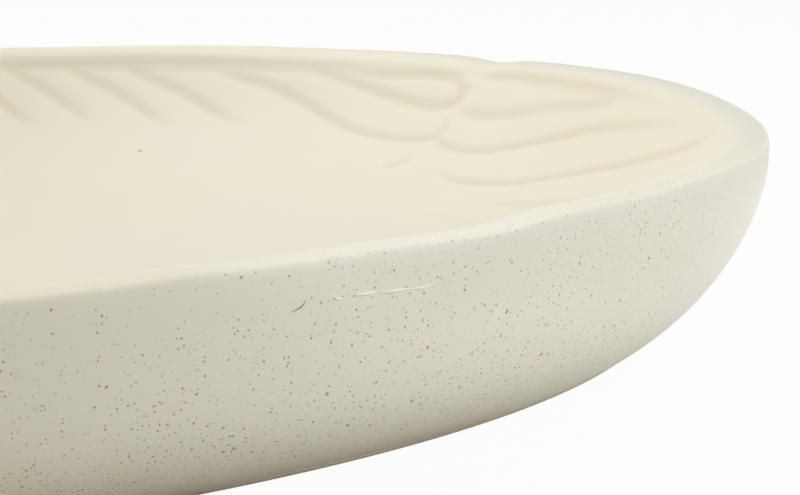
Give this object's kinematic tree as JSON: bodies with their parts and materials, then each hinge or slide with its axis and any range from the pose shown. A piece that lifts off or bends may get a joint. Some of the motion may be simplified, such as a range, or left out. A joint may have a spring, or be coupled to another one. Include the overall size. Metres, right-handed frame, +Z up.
{
  "type": "decorative oval tray",
  "caption": "Oval glazed stoneware serving tray with a rounded rim, leaf-vein relief pressed into the sloping inner wall, foot ring and glued rubber pads.",
  "frame": {"origin": "on the table under the middle of the tray, at the bottom of the pads", "axes": "+X along the length of the tray, +Y across it to the far side, +Z up"},
  "size_m": [0.4, 0.25, 0.037],
  "materials": {
    "glaze": "satin cream glaze, speckled and glossier on the outer wall",
    "pad_rubber": "matte pale grey rubber"
  },
  "bodies": {
    "root": {"tray_body": "glaze", "pad_front_left": "pad_rubber", "pad_front_right": "pad_rubber", "pad_rear_left": "pad_rubber", "pad_rear_right": "pad_rubber"}
  },
  "joints": []
}
